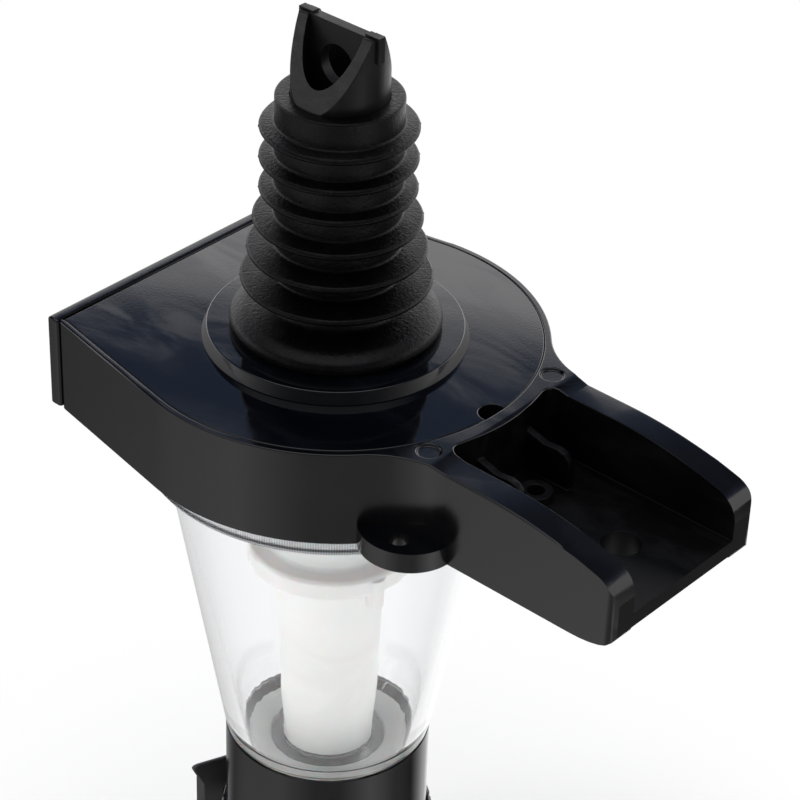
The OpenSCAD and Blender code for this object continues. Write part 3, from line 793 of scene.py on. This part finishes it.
# ---- Room ------------------------------------------------------------------------------
# White paper lies under and round the object. A large soft lamp hangs high over its -X side
# and a weaker one stands off its +X side. The paper keeps the shadow near the object's foot.
paper_gap, paper_sides = 0.0006, 96
paper_rings = (0.05, 0.12, 0.3, 0.8, 2.5)
shadow_edge, white_from = 0.05, 0.1
floor_level = solid_box[0][2] - paper_gap
work = bmesh.new()
ring_before = [work.verts.new((0, -axis_set_back * MM, floor_level))] * paper_sides
for radius in paper_rings:
    ring = [
        work.verts.new((radius * math.cos(2 * math.pi * k / paper_sides),
                        radius * math.sin(2 * math.pi * k / paper_sides) - axis_set_back * MM,
                        floor_level))
        for k in range(paper_sides)
    ]
    for k in range(paper_sides):
        j = (k + 1) % paper_sides
        if ring_before[k] == ring_before[j]:
            work.faces.new((ring_before[k], ring[k], ring[j]))
        else:
            work.faces.new((ring_before[k], ring[k], ring[j], ring_before[j]))
    ring_before = ring
mesh = bpy.data.meshes.new("paper")
work.to_mesh(mesh)
work.free()
paper = bpy.data.objects.new("paper", mesh)
bpy.context.scene.collection.objects.link(paper)
white_paper = bpy.data.materials.new("white_paper")
white_paper.use_nodes = True
tree = white_paper.node_tree
surface = tree.nodes["Principled BSDF"]
surface.inputs["Base Color"].default_value = (0.86, 0.86, 0.86, 1)
surface.inputs["Roughness"].default_value = 0.9
surface.inputs["Specular IOR Level"].default_value = 0.1
spot = add_node(tree, "NewGeometry")
flat = add_node(
    tree, "VectorMath",
    {0: spot.outputs["Position"], 1: (0.0, axis_set_back * MM, -floor_level)}, operation="ADD",
)
away = add_node(tree, "VectorMath", {0: flat.outputs["Vector"]}, operation="LENGTH")
unit = add_node(tree, "VectorMath", {0: flat.outputs["Vector"]}, operation="NORMALIZE")


def ramp(tree, value, start, end, low, high):
    """A smooth step of a value between two levels."""
    return add_node(
        tree, "MapRange",
        {"Value": value, "From Min": start, "From Max": end, "To Min": low, "To Max": high},
        interpolation_type="SMOOTHSTEP",
    ).outputs["Result"]


def facing(tree, direction, degrees):
    """How far a direction points towards a bearing."""
    bearing = (math.cos(math.radians(degrees)), math.sin(math.radians(degrees)), 0.0)
    return add_node(tree, "VectorMath", {0: direction, 1: bearing},
                    operation="DOT_PRODUCT").outputs["Value"]


def sums(tree, operation, first, second, clamp=False):
    """One sum or product of two values."""
    return add_node(tree, "Math", {0: first, 1: second}, operation=operation,
                    use_clamp=clamp).outputs["Value"]


# In a gloss the paper's brightness changes with the bearing in degrees: bright behind the
# object and where the window light falls, dim on the shadow side and towards the camera.
paper_brightest = 1.4
paper_levels = (
    (-180, 1.2), (-150, 1.3), (-115, 0.5), (-75, 0.1), (-45, 0.4), (-5, 0.7), (30, 0.33),
    (55, 0.3), (88, 0.95), (115, 0.3), (143, 0.07), (168, 1.0),
)
split = add_node(tree, "SeparateXYZ", {"Vector": unit.outputs["Vector"]})
bearing = add_node(tree, "Math", {0: split.outputs["Y"], 1: split.outputs["X"]},
                   operation="ARCTAN2")
position = add_node(tree, "MapRange", {"Value": bearing.outputs["Value"], "From Min": -math.pi,
                                       "From Max": math.pi})
levels = add_node(tree, "ValToRGB", {"Fac": position.outputs["Result"]})
stops = levels.color_ramp.elements
stops.remove(stops[1])
for degrees, value in paper_levels:
    stop = stops[0] if degrees == -180 else stops.new((degrees + 180) / 360)
    grey = value / paper_brightest
    stop.color = (grey, grey, grey, 1)
in_gloss = sums(tree, "MULTIPLY", levels.outputs["Color"], paper_brightest)
ray = add_node(tree, "LightPath")
through = ray.outputs["Is Transmission Ray"]
only_gloss = sums(tree, "SUBTRACT", ray.outputs["Is Glossy Ray"], through, clamp=True)
level = add_node(
    tree, "MapRange", {"Value": only_gloss, "To Min": 1.0, "To Max": in_gloss}
)
# Light that reaches the valve through the clear chamber is stronger than what is seen.
inside_light = 0.9
inside = sums(tree, "MULTIPLY", through, ray.outputs["Diffuse Depth"], clamp=True)
lit = sums(tree, "ADD", level.outputs["Result"], sums(tree, "MULTIPLY", inside, inside_light))
glow = add_node(tree, "Emission", {"Strength": lit})
share = sums(tree, "ADD", sums(tree, "ADD", only_gloss, through, clamp=True),
             sums(tree, "MULTIPLY", ray.outputs["Is Camera Ray"],
                  ramp(tree, away.outputs["Value"], shadow_edge, white_from, 0.0, 1.0)),
             clamp=True)
both = add_node(tree, "MixShader", {0: share, 1: surface.outputs[0], 2: glow.outputs[0]})
tree.links.new(both.outputs[0], tree.nodes["Material Output"].inputs["Surface"])
paper.data.materials.append(white_paper)

# In a gloss the room has, from low to high, a white screen that is bright behind the object
# and dim towards the camera, a blue band of sky, a dark ceiling and a pale panel overhead.
# Dull surfaces get an even light, and the camera and the clear plastic see plain white.
screen_bearing, screen_dim, screen_bright = 40.7, 0.06, 1.8
sky_rise, ceiling_rise, panel_rise = (0.425, 0.441), (0.47, 0.62), (0.72, 0.92)
sky_blue = (0.11, 0.155, 0.26, 1)
ceiling_dark = (0.05, 0.055, 0.075, 1)
panel_pale = (0.85, 0.85, 0.87, 1)
even_light = (0.70, 0.70, 0.71, 1)
world = bpy.data.worlds.new("studio")
bpy.context.scene.world = world
world.use_nodes = True
tree = world.node_tree
sky = tree.nodes["Background"]
ray = add_node(tree, "LightPath")
aim = add_node(tree, "TexCoord")
lift = add_node(
    tree, "VectorMath", {0: aim.outputs["Generated"], 1: (0.15, 0.0, 1.0)},
    operation="DOT_PRODUCT",
).outputs["Value"]
level_aim = add_node(tree, "VectorMath", {0: aim.outputs["Generated"], 1: (1.0, 1.0, 0.0)},
                     operation="MULTIPLY")
level_unit = add_node(tree, "VectorMath", {0: level_aim.outputs["Vector"]}, operation="NORMALIZE")
screen = ramp(tree, facing(tree, level_unit.outputs["Vector"], screen_bearing), -0.95, 1.0,
              screen_bright, screen_dim)
screen_tone = add_node(
    tree, "VectorMath", {0: (1.0, 0.985, 1.0), "Scale": screen}, operation="SCALE"
)
in_gloss = screen_tone.outputs["Vector"]
for rise, colour in (
    (sky_rise, sky_blue), (ceiling_rise, ceiling_dark), (panel_rise, panel_pale),
):
    in_gloss = blend_colours(tree, ramp(tree, lift, *rise, 0.0, 1.0), in_gloss, colour)
even = blend_colours(tree, ray.outputs["Is Glossy Ray"], even_light, in_gloss)
plain = sums(tree, "ADD", ray.outputs["Is Camera Ray"], ray.outputs["Is Transmission Ray"],
             clamp=True)
shown = blend_colours(tree, plain, even, (1, 1, 1, 1))
inside = sums(tree, "MULTIPLY", ray.outputs["Is Transmission Ray"],
              ray.outputs["Diffuse Depth"], clamp=True)
tree.links.new(shown, sky.inputs["Color"])
tree.links.new(sums(tree, "ADD", sums(tree, "MULTIPLY", inside, inside_light), 1.0),
               sky.inputs["Strength"])


def soft_lamp(name, place_mm, aim_mm, size, watts):
    """A square soft lamp, placed and aimed in mm from the stopper's axis."""
    lamp = bpy.data.lights.new(name, "AREA")
    lamp.size = size * MM
    lamp.energy = watts
    held = bpy.data.objects.new(name, lamp)
    held.location = at(*place_mm)
    held.rotation_euler = (at(*place_mm) - at(*aim_mm)).to_track_quat("Z", "Y").to_euler()
    held.visible_glossy = False
    bpy.context.scene.collection.objects.link(held)


soft_lamp("lamp_above", (-260, -60, 620), (0, 10, 0), 420, 2.2)
soft_lamp("lamp_side", (520, -260, 240), (0, 0, -20), 300, 1.4)

# The camera looks down on the bracket's near side.
turn, tilt, lean = math.radians(130.702), math.radians(33.747), math.radians(2.051)
level_side = Vector((math.cos(turn), math.sin(turn), 0))
back = Vector((math.sin(turn) * math.cos(tilt), -math.cos(turn) * math.cos(tilt), math.sin(tilt)))
level_up = back.cross(level_side)
to_right = level_side * math.cos(lean) + level_up * math.sin(lean)
to_top = level_up * math.cos(lean) - level_side * math.sin(lean)
distance, shift_right, shift_down = 387.136, 8.920, 9.483
eye = at(0, 0, 0) + (back * distance + to_right * shift_right - to_top * shift_down) * MM
frame_pixels, focal_pixels = 800, 2794.2
lens = bpy.data.cameras.new("camera")
lens.sensor_width = 36
lens.lens = focal_pixels / frame_pixels * lens.sensor_width
camera = bpy.data.objects.new("camera", lens)
bpy.context.scene.collection.objects.link(camera)
camera.matrix_world = Matrix.Translation(eye) @ Matrix(
    (to_right, to_top, back)
).transposed().to_4x4()
lens.clip_start = 0.01
bpy.context.scene.camera = camera
bpy.context.scene.view_settings.view_transform = "Standard"
